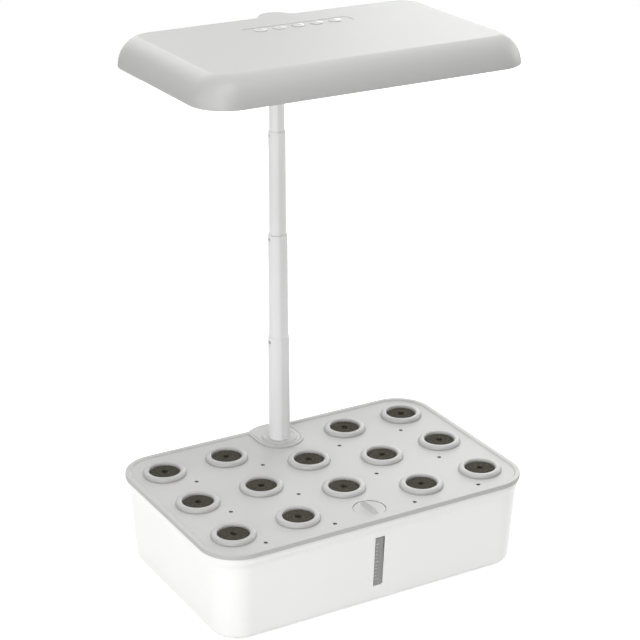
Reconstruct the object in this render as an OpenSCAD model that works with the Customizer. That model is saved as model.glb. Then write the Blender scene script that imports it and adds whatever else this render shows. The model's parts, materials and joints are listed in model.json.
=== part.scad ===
// Countertop hydroponic garden: a water tank with a lift-off grow deck, a telescoping mast
// and a grow lamp. Millimetres, +Z up. The origin is on the table, under the middle of
// the footprint. The mast stands at the back (+Y) and the water window is in front (-Y).

/* [Tank] */
// Gap that the rubber feet leave under the tank
foot_h = 1.5; // [1:0.5:2]
// Height of the tank's lip above the table
tank_top = 93; // [88:1:100]
// Wall thickness of the tank
tank_wall = 2.6; // [2.2:0.2:3]
// How far each wall leans in from the lip down to the floor
tank_draft = 4.9; // [3:0.1:6]
// Radius where the walls meet the floor
tank_fillet = 8; // [6:1:10]
// How far the wall stands in under the lip
cove_in = 2.2; // [1.6:0.2:3]
// Width of the water window
window_w = 9.8; // [8:0.2:14]
// Height of the water window
window_h = 54.5; // [40:0.5:58]
// Sideways place of the window
window_x = -1; // [-20:1:20]
// Height of the window's centre above the table
window_z = 48; // [46:0.5:50]

/* [Deck] */
// Width of the deck
deck_w = 355.4; // [352:0.2:362]
// Depth of the deck
deck_d = 235.8; // [234:0.2:242]
// Corner radius of the deck
deck_r = 38.3; // [34:0.1:42]
// Height of the deck's rim above the table
rim_z = 98.3; // [98.3:0.1:98.8]
// Width of the raised rim
rim_w = 5.6; // [4.5:0.1:6.5]
// Depth of the field inside the rim
field_sink = 1.5; // [1:0.1:2]
// Distance between pod columns
pod_pitch = 70; // [68:1:72]
// Distance between pod rows
row_pitch = 75; // [70:1:76]
// Diameter of the small vent holes
vent_d = 2.8; // [2:0.2:4]

/* [Pods] */
// Outer diameter of a basket's ring
ring_d = 44; // [40:1:46]
// Height of a basket's ring above the deck
ring_h = 4.2; // [3.5:0.1:5]
// Bore of a basket at its mouth
mouth_d = 30.8; // [30:0.1:32]
// Depth of a basket below the deck
basket_depth = 36; // [30:1:40]
// Diameter of the sponge at its top
sponge_d = 29.8; // [28:0.1:29.8]
// How far the sponge sits below the ring's top
sponge_sink = 1.8; // [1.5:0.1:4]

/* [Mast] */
// Distance of the mast behind the deck's centre
mast_y = 90.2; // [89.8:0.1:90.6]
// Width of the socket that the mast stands in
socket_w = 44; // [44:0.5:46]
// How far the socket bulges behind the deck
socket_bulge = 6.6; // [5:0.2:8]
// Heights of the three lower tubes' tops above the table
tube_tops = [212.8, 323.1, 430.2]; // [205:0.1:435]

/* [Lamp] */
// Width of the lamp
lamp_w = 339.3; // [336:0.1:344]
// Depth of the lamp
lamp_d = 211.3; // [208:0.1:216]
// Corner radius of the lamp at its lower edge
lamp_r = 34.9; // [33:0.1:38]
// Height of the lamp's lower edge above the table
lamp_z = 516.7; // [510:0.1:520]
// Thickness of the lamp
lamp_h = 27.4; // [26.8:0.1:28]
// How far the lamp's flat top is set in from its lower edge
lamp_inset = 19.85; // [19:0.05:21]
// Distance of the lamp's centre behind the deck's centre
lamp_y = 5.2; // [4.8:0.1:5.6]
// Wall thickness of the lamp cover
cover_wall = 2.2; // [2:0.1:2.4]
// Diameter of a button
button_d = 12.3; // [11:0.1:13]
// Distance between buttons
button_pitch = 20; // [18:0.5:22]

/* [Hidden] */
$fn = 96;

// The socket reaches further back than the deck does, so the deck's centre lies in front
// of the middle of the footprint
deck_y = -socket_bulge / 2;

shell_white = "#F4F4F2";
deck_grey = "#D9D9D8";
lamp_grey = "#D4D4D3";
mast_grey = "#DCDCDC";

// Heights on the base
floor_t = 2.6;
floor_z = foot_h + floor_t;
field_z = rim_z - field_sink;
deck_t = 2.4;
deck_gap = 0.6;
ring_top = field_z + ring_h;
lip_inset = 1.5;
lip_round = 0.6;
lip_drop = 4;
wall_z = tank_top - 12;
// Height over which the wall leans, its angle, and its thickness square to its face
wall_run = wall_z - foot_h - tank_fillet;
wall_lean = atan(tank_draft / wall_run);
wall_face = tank_wall * cos(wall_lean);
// The dry well that the socket stands in
well_inset = lip_inset + cove_in;
well_wall = 2.4;
// Screws of both the socket and the lamp: shank, threaded hole, free hole and hex socket
screw_r = 1.45;
screw_hole_r = 1.5;
screw_pass_r = 1.8;
screw_key_r = 1.2;
// Pan head of the socket's screws, its depth in the tank's floor, and the screws' length
pan_r = 2.9;
pan_t = 0.8;
pan_sink = 1.2;
socket_screw_l = 13;
// Countersunk head of the lamp's screws, and their length
sunk_r = 2.8;
sunk_t = 1.5;
lamp_screw_l = 11;
// The window's lens and the gasket behind its flange
window_r = 2.2;
window_fit = 0.2;
lens_margin = 3.1;
lens_sink = 0.9;
lens_flange_t = 2;
gasket_t = 0.8;
lip_w = deck_w - 2 * lip_inset;
lip_d = deck_d - 2 * lip_inset;
lip_r = deck_r - lip_inset;

// Places on the deck
pod_places = concat(
  [for (x = [-2, -1, 1, 2], y = [1, 0, -1]) [x * pod_pitch, y * row_pitch]],
  [[0, 27.6], [0, 27.6 - pod_pitch]]
);
vent_places = [for (x = [-120, -45, 45, 120], y = [43, -31, -102]) [x, y]];
cap_y = -91;
cap_d = 31.6;
cap_gap = 0.6;
fill_bore_r = 13;
dish_floor = 95.2;
// Gaps in the deck round the socket and round each basket
notch_gap = 0.4;
pod_gap = 0.3;

// Running clearance of a telescoping tube, a pin or the cap on its seal
run = 0.05;
// Outer and inner radius of each tube, from the bottom up
tube_ro = [11.05, 10, 8.75, 7.75];
tube_ri = [10.05, 8.8, 7.8, 6.65];
key_w = 5;
key_depth = 0.6;
// Length of each upper tube that stays inside the tube below it
tube_hold = [32, 20, 20];
tube_1_foot = 38;
lamp_top = lamp_z + lamp_h;
tube_ends = [for (n = [0:3]) n < 3 ? tube_tops[n] : lamp_top - 8];
tube_feet = [for (n = [0:3]) n == 0 ? tube_1_foot : tube_tops[n - 1] - tube_hold[n - 1]];
// Each locking pin: distance below its tube's top, hole radius and pin radius
pin_drop = [5.8, 4.7, 4];
hole_r = [2.5, 1.9, 1.45];
pin_r = [2.1, 1.6, 1.25];
pin_face = [9.6, 8.4, 7.45];

// The lamp's side is an arc that stands upright at the lower edge
arc_r = (lamp_inset * lamp_inset + lamp_h * lamp_h) / (2 * lamp_inset);
// The housing over the mast's top, and the fillets that join it to the flat top's back edge
bump_r = 17.4;
bump_foot = 11;
bump_fillet = 12;
crease_y = lamp_y + lamp_d / 2 - lamp_inset;
button_y = 47;
button_places = [for (n = [-2:2]) [n * button_pitch, button_y]];
button_gap = 0.15;
button_travel = 0.5;
// The control board under the buttons hangs on two pillars, and the panel over it is sunk
pillar_r = 2.5;
pillar_x = 2 * button_pitch + 10.5;
control_w = 2 * (pillar_x + pillar_r);
control_z = lamp_z + 16.3;
control_t = 1.6;
switch_h = 3.5;
plunger_h = 1;
panel_w = control_w + 10;
panel_d = 19;
panel_r = 6;
panel_sink = 0.3;
// Plate that closes the lamp from below
base_lift = 1;
base_t = 2.6;
// Opening for the light, the ledge round it, and the diffuser that rests on the ledge
light_w = 278;
light_d = 142;
light_r = 8;
light_y = lamp_y - 6;
ledge_w = 4;
ledge_t = 1.2;
sheet_gap = 0.3;
sheet_t = 2;
// The light board hangs on four posts over the diffuser
led_in = 5;
led_z = lamp_z + 11.7;
led_t = 1.6;
chip_t = 0.9;
led_posts = [for (x = [-110, 110], y = [-50, 50]) [x, light_y + y]];
// Screws at the lamp's ends and along its front
end_screw_x = 152;
front_screw_y = 91.5;
screw_places = concat(
  [for (x = [-end_screw_x, end_screw_x], y = [-66, 66]) [x, lamp_y + y]],
  [for (x = [-60, 60]) [x, lamp_y - front_screw_y]]
);
// Collar that holds the mast's top tube in the lamp
collar_r = 9.8;
collar_flange_r = 12.5;

// ---- shared shapes ----

// Puts what is drawn about the deck's centre into place
module on_base() {
  translate([0, deck_y, 0]) children();
}

// Points along an arc in the section's plane
function arc(cx, cy, r, from, to, steps = 6) =
  [for (n = [0:steps]) let (a = from + (to - from) * n / steps) [cx + r * cos(a), cy + r * sin(a)]];

module rounded_rect(w, d, r) {
  square([w - 2 * r, d], center = true);
  square([w, d - 2 * r], center = true);
  for (x = [-1, 1], y = [-1, 1]) translate([x * (w / 2 - r), y * (d / 2 - r)]) circle(r);
}

module plate(w, d, r, z, t) {
  translate([0, 0, z]) linear_extrude(t) rounded_rect(w, d, r);
}

// Sweeps a wall's section round a rounded rectangle. The section's x = 0 is the outline,
// inwards is negative, and its y is height.
module swept_wall(w, d, r) {
  for (q = [0:3]) {
    half = q % 2 == 0 ? w / 2 : d / 2;
    across = q % 2 == 0 ? d / 2 : w / 2;
    rotate([0, 0, 90 * q]) {
      translate([half - r, across - r, 0]) rotate_extrude(angle = 90) translate([r, 0]) children();
      translate([half, 0, 0]) rotate([90, 0, 0]) linear_extrude(2 * (across - r), center = true) children();
    }
  }
}

// Plan outline of the mast's socket: round in front of the mast, straight at its sides
// and bulging behind the deck. grow moves the outline out, or in where it is negative.
module socket_plan(grow) {
  bulge_r = 38;
  intersection() {
    union() {
      translate([0, mast_y]) circle(socket_w / 2 + grow);
      translate([-socket_w / 2 - grow, mast_y]) square([socket_w + 2 * grow, 60]);
    }
    translate([0, deck_d / 2 + socket_bulge - bulge_r]) circle(bulge_r + grow);
  }
}

module tube(ro, ri, z0, z1) {
  translate([0, 0, z0]) difference() {
    cylinder(r = ro, h = z1 - z0);
    translate([0, 0, -1]) cylinder(r = ri, h = z1 - z0 + 2);
  }
}

// ---- tank ----

// The lip swells out over the wall in an S
function lip_curve(steps = 6) = [
  for (n = [0:steps]) let (t = n / steps)
    [-cove_in * (1 - cos(180 * t)) / 2, tank_top - lip_drop - t * (tank_top - lip_drop - wall_z)]
];

module tank_section() {
  foot_x = -cove_in - tank_draft;
  polygon(concat(
    [[-lip_round, tank_top], [0, tank_top - lip_round]],
    lip_curve(),
    arc(foot_x - tank_fillet, foot_h + tank_fillet, tank_fillet, 0, -90),
    arc(foot_x - tank_fillet, foot_h + tank_fillet, tank_fillet - floor_t, -90, 0),
    [[-cove_in - tank_wall, wall_z], [-cove_in - tank_wall, tank_top]]
  ));
}

// Leans a part of the front wall as the wall itself leans. The window's middle is at the
// local origin, and +Y is into the tank.
module on_front_wall() {
  face_y = -(lip_d / 2 - cove_in - tank_draft * (wall_z - window_z) / wall_run);
  translate([window_x, face_y, window_z]) rotate([wall_lean, 0, 0]) children();
}

module window_slab(w, h, r, from, t) {
  on_front_wall() translate([0, from, 0]) rotate([-90, 0, 0]) linear_extrude(t) rounded_rect(w, h, r);
}

foot_places = [for (x = [-135, 135], y = [-76, 76]) [x, y]];
foot_r = 7.9;
foot_recess = 0.8;
socket_bolts = [[-8, mast_y], [8, mast_y]];
inlet_z = 24;
inlet_y = deck_d / 2 + socket_bulge - well_inset;
inlet_body_r = 5.5;

module tank() {
  floor_in = cove_in + tank_draft + tank_fillet - 1;
  color(shell_white) on_base() difference() {
    union() {
      swept_wall(lip_w, lip_d, lip_r) tank_section();
      plate(lip_w - 2 * floor_in, lip_d - 2 * floor_in, lip_r - floor_in, foot_h, floor_t);
      translate([0, 0, foot_h]) linear_extrude(tank_top - foot_h) socket_plan(-well_inset);
      translate([0, 0, tank_top - lip_drop]) linear_extrude(lip_drop) socket_plan(-lip_inset);
    }
    translate([0, 0, floor_z]) linear_extrude(tank_top) socket_plan(-well_inset - well_wall);
    window_slab(window_w, window_h, window_r, -tank_wall, 3 * tank_wall);
    for (p = foot_places) translate([p.x, p.y, foot_h - 1]) cylinder(r = foot_r + 0.1, h = 1 + foot_recess);
    for (p = socket_bolts) translate([p.x, p.y, foot_h - 1]) {
      cylinder(r = screw_pass_r, h = floor_t + 2);
      cylinder(r = pan_r + 0.5, h = 1 + pan_sink);
    }
    translate([0, inlet_y - 2 * well_wall, inlet_z]) rotate([-90, 0, 0]) {
      cylinder(r = inlet_body_r + 0.1, h = 4 * well_wall);
    }
  }
}

module tank_feet() {
  color("#3A3A3A") on_base() for (p = foot_places) translate([p.x, p.y, 0]) rotate_extrude() {
    edge_r = 0.7;
    square([foot_r - edge_r, foot_h + foot_recess]);
    translate([0, edge_r]) square([foot_r, foot_h + foot_recess - edge_r]);
    translate([foot_r - edge_r, edge_r]) circle(edge_r);
  }
}

module window_flange(from, t) {
  window_slab(window_w + 2 * lens_margin, window_h + 2 * lens_margin, window_r + lens_margin, from, t);
}

module window_lens() {
  plug_w = window_w - 2 * window_fit;
  plug_h = window_h - 2 * window_fit;
  color("#8F8F8C") on_base() {
    window_slab(plug_w, plug_h, window_r - window_fit, lens_sink, wall_face);
    window_flange(wall_face + gasket_t, lens_flange_t);
  }
}

module window_gasket() {
  color("#5A5A58") on_base() difference() {
    window_flange(wall_face, gasket_t);
    window_slab(window_w, window_h, window_r, 0, 3 * tank_wall);
  }
}

// ---- mast socket, inlet and pump ----

// A raised ring round a shallow dish
module socket_ring_section() {
  ring_r = 16.8;
  bead_r = 1.6;
  bead_z = rim_z + 0.2;
  dish_z = rim_z + 0.6;
  polygon(concat(
    [[tube_ro[0], rim_z - 1], [ring_r + bead_r, rim_z - 1]],
    arc(ring_r, bead_z, bead_r, 0, 125, 7),
    [[ring_r - bead_r - 1, dish_z], [tube_ro[0], dish_z]]
  ));
}

module mast_socket() {
  spigot_r = 14.2;
  spigot_foot = tube_1_foot - 2.5;
  post_r = 4;
  wire_hole_r = 3;
  locator_r = socket_w / 2 - well_inset - well_wall - 0.3;
  color(deck_grey) on_base() difference() {
    union() {
      translate([0, 0, tank_top]) linear_extrude(rim_z - tank_top) socket_plan(0);
      translate([0, mast_y, 0]) rotate_extrude() socket_ring_section();
      translate([0, mast_y, tank_top - lip_drop]) cylinder(r = locator_r, h = lip_drop + 1);
      translate([0, mast_y, spigot_foot]) cylinder(r = spigot_r, h = tank_top - spigot_foot);
      for (p = socket_bolts) {
        translate([p.x, p.y, floor_z]) cylinder(r = post_r, h = spigot_foot - floor_z + 1);
      }
    }
    translate([0, mast_y, tube_1_foot]) cylinder(r = tube_ro[0], h = rim_z);
    translate([0, mast_y, spigot_foot - 1]) cylinder(r = wire_hole_r, h = tube_1_foot - spigot_foot + 2);
    for (p = socket_bolts) translate([p.x, p.y, floor_z - 1]) cylinder(r = screw_hole_r, h = socket_screw_l);
  }
}

module socket_screws() {
  head_z = foot_h + pan_sink - pan_t;
  color("#8C8C8C") on_base() for (p = socket_bolts) translate([p.x, p.y, head_z]) difference() {
    union() {
      cylinder(r = pan_r, h = pan_t);
      cylinder(r = screw_r, h = socket_screw_l);
    }
    translate([0, 0, -0.1]) cylinder(r = screw_key_r, h = 0.6, $fn = 6);
  }
}

// A barrel socket: a flanged body with a contact pin in its hole
module power_inlet() {
  flange_t = 1.3;
  flange_r = inlet_body_r + 1.9;
  body_l = 11;
  hole_r = 2.9;
  hole_depth = 9;
  pin_r = 1;
  color("#1E1E1E") on_base() translate([0, inlet_y, inlet_z]) rotate([-90, 0, 0]) {
    difference() {
      union() {
        cylinder(r = flange_r, h = flange_t);
        translate([0, 0, -body_l]) cylinder(r = inlet_body_r, h = body_l + 1);
      }
      translate([0, 0, -hole_depth]) cylinder(r = hole_r, h = hole_depth + 2 * flange_t);
    }
    translate([0, 0, -hole_depth - 0.5]) cylinder(r = pin_r, h = hole_depth + 0.5);
  }
}

pump_place = [104, 62];
pump_w = 46;
pump_d = 34;
pump_top = floor_z + 28;

module pump_body() {
  corner_r = 5;
  outlet_r = 4.6;
  outlet_bore_r = 3;
  color("#2B2B2D") on_base() translate([pump_place.x, pump_place.y, 0]) {
    plate(pump_w, pump_d, corner_r, floor_z, pump_top - floor_z);
    tube(outlet_r, outlet_bore_r, pump_top - 1, pump_top + 9);
    tube(outlet_r + 0.6, outlet_bore_r, pump_top + 5, pump_top + 6.2);
  }
}

module pump_filter() {
  filter_w = 36;
  filter_d = 5;
  slot_w = 2.8;
  slot_pitch = 6;
  color("#3C3C40") on_base() translate([pump_place.x, pump_place.y - pump_d / 2, floor_z]) difference() {
    translate([-filter_w / 2, -filter_d, 1]) cube([filter_w, filter_d, 24]);
    for (n = [-2:2]) translate([n * slot_pitch - slot_w / 2, -filter_d - 1, 5]) {
      cube([slot_w, filter_d - 1, 16]);
    }
  }
}

// ---- deck ----

// The rim rests on the tank's lip, and a skirt inside it keeps the deck in place
module deck_rim_section() {
  edge_r = 0.8;
  inner_r = 0.6;
  skirt_out = lip_inset + cove_in + tank_wall + 0.4;
  skirt_in = skirt_out + 1.7;
  skirt_z = tank_top - 3.5;
  rest_x = 2.4;
  polygon(concat(
    [[0, tank_top + deck_gap]],
    arc(-edge_r, rim_z - edge_r, edge_r, 0, 90, 3),
    arc(-rim_w + 1.5, rim_z - inner_r, inner_r, 90, 150, 2),
    [[-rim_w - 0.4, field_z], [-skirt_in - 1.1, field_z], [-skirt_in - 1.1, field_z - deck_t]],
    [[-skirt_in, field_z - deck_t], [-skirt_in, skirt_z], [-skirt_out, skirt_z], [-skirt_out, tank_top]],
    [[-rest_x, tank_top], [-rest_x, tank_top + deck_gap]]
  ));
}

module deck() {
  edge = 9;
  notch_lip = 2.4;
  boss_wall = 3.2;
  boss_foot = 88.5;
  cut_z = 80;
  cut_h = 40;
  color(deck_grey) on_base() difference() {
    union() {
      swept_wall(deck_w, deck_d, deck_r) deck_rim_section();
      plate(deck_w - 2 * edge, deck_d - 2 * edge, deck_r - edge, field_z - deck_t, deck_t);
      translate([0, 0, field_z - deck_t]) linear_extrude(rim_z - field_z + deck_t) intersection() {
        socket_plan(notch_gap + notch_lip);
        square([2 * socket_w, deck_d - 2], center = true);
      }
      translate([0, cap_y, boss_foot]) cylinder(r = cap_d / 2 + boss_wall, h = field_z - boss_foot);
    }
    translate([0, 0, cut_z]) linear_extrude(cut_h) socket_plan(notch_gap);
    for (p = pod_places) translate([p.x, p.y, cut_z]) {
      cylinder(r = mouth_d / 2 + cup_wall + pod_gap, h = cut_h);
    }
    for (p = vent_places) translate([p.x, p.y, cut_z]) cylinder(d = vent_d, h = cut_h);
    translate([0, cap_y, cut_z]) cylinder(r = fill_bore_r, h = cut_h);
    translate([0, cap_y, dish_floor]) cylinder(r = cap_d / 2 + cap_gap, h = cut_h);
  }
}

// ---- fill cap ----

cap_disc_t = 1.1;
plug_r = fill_bore_r - 0.6;
plug_wall = 3.4;
plug_roof = 1.5;
plug_foot = 87;
seal_z = 91;
seal_wire_r = 1;
seal_r = fill_bore_r - run - seal_wire_r;

// A ring that runs in the plug's groove and closes on the deck's bore
module cap_seal() {
  color("#4A4A4A") on_base() translate([0, cap_y, seal_z]) rotate_extrude() {
    translate([seal_r, 0]) circle(seal_wire_r);
  }
}

// The grip is a fin whose ends fall off in an arc
module cap_fin() {
  fin_h = 5.4;
  base_half = 3.2;
  ridge_half = 1.2;
  end_r = 15.6;
  end_drop = 8.6;
  intersection() {
    rotate([90, 0, 90]) linear_extrude(4 * base_half, center = true) intersection() {
      translate([0, -end_drop]) circle(end_r);
      translate([-end_r, 0]) square([2 * end_r, fin_h]);
    }
    rotate([90, 0, 0]) linear_extrude(2 * end_r, center = true) polygon(concat(
      [[base_half, 0]],
      arc(0, fin_h - ridge_half, ridge_half, 0, 180, 8),
      [[-base_half, 0]]
    ));
  }
}

module fill_cap() {
  groove_z = seal_z - seal_wire_r - run;
  color(deck_grey) on_base() translate([0, cap_y, 0]) {
    difference() {
      union() {
        translate([0, 0, dish_floor]) cylinder(d = cap_d, h = cap_disc_t);
        translate([0, 0, plug_foot]) cylinder(r = plug_r, h = dish_floor - plug_foot);
      }
      translate([0, 0, groove_z]) difference() {
        cylinder(r = fill_bore_r, h = 2 * (seal_wire_r + run));
        translate([0, 0, -1]) cylinder(r = seal_r - seal_wire_r - run, h = 4 * seal_wire_r);
      }
      translate([0, 0, plug_foot - 1]) {
        cylinder(r = plug_r - plug_wall, h = dish_floor - plug_roof - plug_foot + 1);
      }
    }
    translate([0, 0, dish_floor + cap_disc_t]) cap_fin();
  }
}

// ---- pods ----

cup_wall = 1.9;
cup_floor_t = 1.6;
drain_r = 4.5;

module basket_section() {
  ro = ring_d / 2;
  ri = mouth_d / 2;
  cup_z = field_z - basket_depth;
  foot_edge = 0.5;
  shoulder_r = 3.6;
  mouth_edge = 1.8;
  polygon(concat(
    [[ri + cup_wall, field_z], [ro - foot_edge, field_z], [ro, field_z + foot_edge]],
    arc(ro - shoulder_r, ring_top - shoulder_r, shoulder_r, 0, 90, 6),
    arc(ri + mouth_edge + 0.2, ring_top - mouth_edge, mouth_edge, 90, 180, 4),
    [[ri, ring_top - 2 * mouth_edge], [ri, field_z - 4], [ri - cup_wall, cup_z + cup_floor_t]],
    [[drain_r, cup_z + cup_floor_t], [drain_r, cup_z]],
    [[ri - foot_edge - 0.4, cup_z], [ri - 0.4, cup_z + foot_edge]],
    [[ri + cup_wall, field_z - 6]]
  ));
}

module basket(n) {
  slot_w = 4;
  slot_h = basket_depth - 14;
  slot_z = field_z - basket_depth + 5;
  place = pod_places[n - 1];
  color("#E6E6E5") on_base() translate([place.x, place.y, 0]) difference() {
    rotate_extrude() basket_section();
    for (a = [0:60:120]) rotate([0, 0, a]) translate([-ring_d / 2, -slot_w / 2, slot_z]) {
      cube([ring_d, slot_w, slot_h]);
    }
  }
}

module sponge(n) {
  r = sponge_d / 2;
  foot = field_z - basket_depth + cup_floor_t;
  top = ring_top - sponge_sink;
  edge = 0.8;
  foot_in = 2.2;
  hole_r = 2.4;
  hole_depth = 9;
  place = pod_places[n - 1];
  color("#48453C") on_base() translate([place.x, place.y, 0]) rotate_extrude() polygon([
    [0, foot],
    [r - foot_in, foot],
    [r, field_z - 4],
    [r, top - edge],
    [r - edge, top],
    [hole_r, top],
    [hole_r - 0.3, top - hole_depth],
    [0, top - hole_depth]
  ]);
}

// ---- mast ----

// A tube with a key groove down its front, a key inside that runs in the next tube's
// groove, and round holes on its left side
module mast_tube(n) {
  k = n - 1;
  z0 = tube_feet[k];
  z1 = tube_ends[k];
  color(mast_grey) on_base() translate([0, mast_y, 0]) difference() {
    union() {
      tube(tube_ro[k], tube_ri[k], z0, z1);
      if (n < 4) intersection() {
        key_half = key_w / 2 - 0.2;
        key_root = tube_ro[k] - 0.3;
        key_face = tube_ro[n] - key_depth + run;
        translate([-key_half, -key_root, z0]) cube([2 * key_half, key_root - key_face, z1 - z0]);
        translate([0, 0, z0]) cylinder(r = tube_ro[k], h = z1 - z0);
      }
    }
    translate([-key_w / 2, -tube_ro[k] - 1, z0 - 1]) cube([key_w, 1 + key_depth, z1 - z0 + 2]);
    if (n < 4) translate([0, 0, z1 - pin_drop[k]]) rotate([0, -90, 0]) {
      cylinder(r = hole_r[k], h = 2 * tube_ro[k]);
    }
    if (n > 1) translate([0, 0, tube_ends[k - 1] - pin_drop[k - 1]]) rotate([0, -90, 0]) {
      cylinder(r = pin_r[k - 1] + run, h = 2 * tube_ro[k]);
    }
  }
}

// The locking pin is held behind its tube's wall by a flange and faces the hole in the
// tube outside it
module snap_pin(n) {
  k = n - 1;
  flange_r = pin_r[k] + 0.8;
  flange_t = 0.85;
  wall_x = sqrt(pow(tube_ri[n], 2) - pow(flange_r, 2));
  back_x = wall_x - flange_t - 0.15;
  color("#3F3F3F") on_base() translate([0, mast_y, tube_tops[k] - pin_drop[k]]) rotate([0, -90, 0]) {
    translate([0, 0, back_x]) cylinder(r = pin_r[k], h = pin_face[k] - back_x);
    translate([0, 0, back_x]) cylinder(r = flange_r, h = flange_t);
  }
}

// ---- lamp ----

module lamp_side(r) {
  translate([-arc_r, 0]) circle(r, $fn = 128);
}

module lamp_section() {
  difference() {
    intersection() {
      lamp_side(arc_r);
      translate([-lamp_inset - 2, 0]) square([lamp_inset + 2, lamp_h]);
    }
    intersection() {
      lamp_side(arc_r - cover_wall);
      translate([-2 * arc_r, -1]) square([2 * arc_r, lamp_h - cover_wall + 1]);
    }
  }
}

// Fills the corner between the bump and the back edge of the flat top with fillets that
// touch both
module bump_fillets() {
  reach = bump_r + bump_fillet;
  rise = crease_y + bump_fillet - mast_y;
  fillet_x = sqrt(pow(reach, 2) - pow(rise, 2));
  touch_y = mast_y + rise * bump_r / reach;
  difference() {
    translate([-fillet_x, crease_y - 6]) square([2 * fillet_x, touch_y - crease_y + 6]);
    for (x = [-fillet_x, fillet_x]) translate([x, crease_y + bump_fillet]) circle(bump_fillet);
  }
}

// Height inside the cover at a distance in from its lower edge
function inner_height(inset) = sqrt(pow(arc_r - cover_wall, 2) - pow(arc_r - inset, 2));

module screw_boss(p) {
  boss_r = 3.6;
  inset = abs(p.x) == end_screw_x ? lamp_w / 2 - end_screw_x : lamp_d / 2 - front_screw_y;
  foot = base_lift + base_t;
  translate([p.x, p.y, lamp_z + foot]) cylinder(r = boss_r, h = inner_height(inset) - foot);
}

// A post that hangs from the cover's roof down to foot
module roof_post(p, r, foot) {
  translate([p.x, p.y, foot]) cylinder(r = r, h = lamp_top - 1 - foot);
}

module lamp_cover() {
  inner = lamp_inset + 1;
  post_r = 3;
  fillet_t = 5.4;
  color(lamp_grey) on_base() difference() {
    union() {
      translate([0, lamp_y, lamp_z]) {
        swept_wall(lamp_w, lamp_d, lamp_r) lamp_section();
        plate(lamp_w - 2 * inner, lamp_d - 2 * inner, lamp_r - inner, lamp_h - cover_wall, cover_wall);
      }
      translate([0, mast_y, lamp_z + bump_foot]) cylinder(r = bump_r, h = lamp_h - bump_foot);
      translate([0, 0, lamp_top - fillet_t]) linear_extrude(fillet_t) bump_fillets();
      for (p = screw_places) screw_boss(p);
      for (x = [-pillar_x, pillar_x]) roof_post([x, button_y], pillar_r, control_z + control_t);
      for (p = led_posts) roof_post(p, post_r, led_z + led_t);
    }
    translate([0, mast_y, lamp_z - 1]) cylinder(r = bump_r - cover_wall, h = lamp_h - cover_wall + 1);
    for (p = button_places) translate([p.x, p.y, lamp_z]) {
      cylinder(d = button_d + 2 * button_gap, h = 2 * lamp_h);
    }
    translate([0, button_y, 0]) plate(panel_w, panel_d, panel_r, lamp_top - panel_sink, 1);
    for (p = screw_places) translate([p.x, p.y, lamp_z]) cylinder(r = screw_hole_r, h = 15);
  }
}

// A plate of the light opening's plan, grown or shrunk
module light_plate(grow, z, t) {
  on_base() translate([0, light_y, 0]) {
    plate(light_w + 2 * grow, light_d + 2 * grow, light_r + grow, z, t);
  }
}

module lamp_base() {
  gap = cover_wall + 0.35;
  z = lamp_z + base_lift;
  color(lamp_grey) difference() {
    on_base() translate([0, lamp_y, 0]) plate(lamp_w - 2 * gap, lamp_d - 2 * gap, lamp_r - gap, z, base_t);
    light_plate(0, lamp_z, base_lift + base_t + 1);
    light_plate(ledge_w, z + ledge_t, base_t);
    on_base() translate([0, mast_y, lamp_z]) cylinder(r = collar_r + 0.1, h = base_lift + base_t + 1);
    on_base() for (p = screw_places) translate([p.x, p.y, z - 0.1]) {
      cylinder(r1 = sunk_r + 0.2, r2 = screw_r, h = sunk_t + 0.1);
      cylinder(r = screw_pass_r, h = base_t + 1);
    }
  }
}

module lamp_screws() {
  z = lamp_z + base_lift;
  color("#8C8C8C") on_base() for (p = screw_places) translate([p.x, p.y, z]) difference() {
    union() {
      cylinder(r1 = sunk_r, r2 = screw_r, h = sunk_t);
      cylinder(r = screw_r, h = lamp_screw_l);
    }
    translate([0, 0, -0.1]) cylinder(r = screw_key_r, h = 0.7, $fn = 6);
  }
}

module diffuser() {
  color("#F2F0E8") light_plate(ledge_w - sheet_gap, lamp_z + base_lift + ledge_t, sheet_t);
}

module led_board() {
  color("#F0F0F0") light_plate(-led_in, led_z, led_t);
}

module led_chips() {
  chip_w = 3;
  pitch = [21.5, 20.5];
  color("#E8D79A") on_base() for (x = [-5.5:5.5], y = [-2.5:2.5]) {
    translate([x * pitch.x - chip_w / 2, light_y + y * pitch.y - chip_w / 2, led_z - chip_t]) {
      cube([chip_w, chip_w, chip_t]);
    }
  }
}

module control_board() {
  switch_w = 6;
  plunger_r = 1.6;
  color("#1F6B3F") on_base() translate([0, button_y, 0]) {
    plate(control_w, 15, 2, control_z, control_t);
    for (n = [-2:2]) translate([n * button_pitch, 0, control_z + control_t]) {
      translate([-switch_w / 2, -switch_w / 2, 0]) cube([switch_w, switch_w, switch_h]);
      cylinder(r = plunger_r, h = switch_h + plunger_h);
    }
  }
}

// A low dome with a flange that stops it under the roof and a stem that meets its switch
module button(n) {
  stem_r = 1.8;
  stem_foot = control_z + control_t + switch_h + plunger_h + button_travel + 0.1;
  flange_r = 7;
  flange_t = 0.8;
  flange_z = lamp_top - cover_wall - flange_t - 0.3;
  dome_r = 22;
  dome_top = lamp_top + 1.2;
  color("#E2E2E1") on_base() translate([button_places[n - 1].x, button_y, 0]) rotate_extrude() {
    translate([0, stem_foot]) square([stem_r, flange_z + flange_t / 2 - stem_foot]);
    translate([0, flange_z]) square([flange_r, flange_t]);
    intersection() {
      translate([0, flange_z]) square([button_d / 2, dome_top - flange_z]);
      translate([0, dome_top - dome_r]) circle(dome_r, $fn = 256);
    }
  }
}

module mast_collar() {
  flange_t = 2.4;
  color("#C9C9C9") on_base() translate([0, mast_y, 0]) difference() {
    union() {
      translate([0, 0, lamp_z + 0.4]) cylinder(r = collar_r, h = lamp_h - 8);
      translate([0, 0, lamp_z + base_lift + base_t]) cylinder(r = collar_flange_r, h = flange_t);
    }
    translate([0, 0, lamp_z]) cylinder(r = tube_ro[3] + run, h = lamp_h);
  }
}

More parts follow.
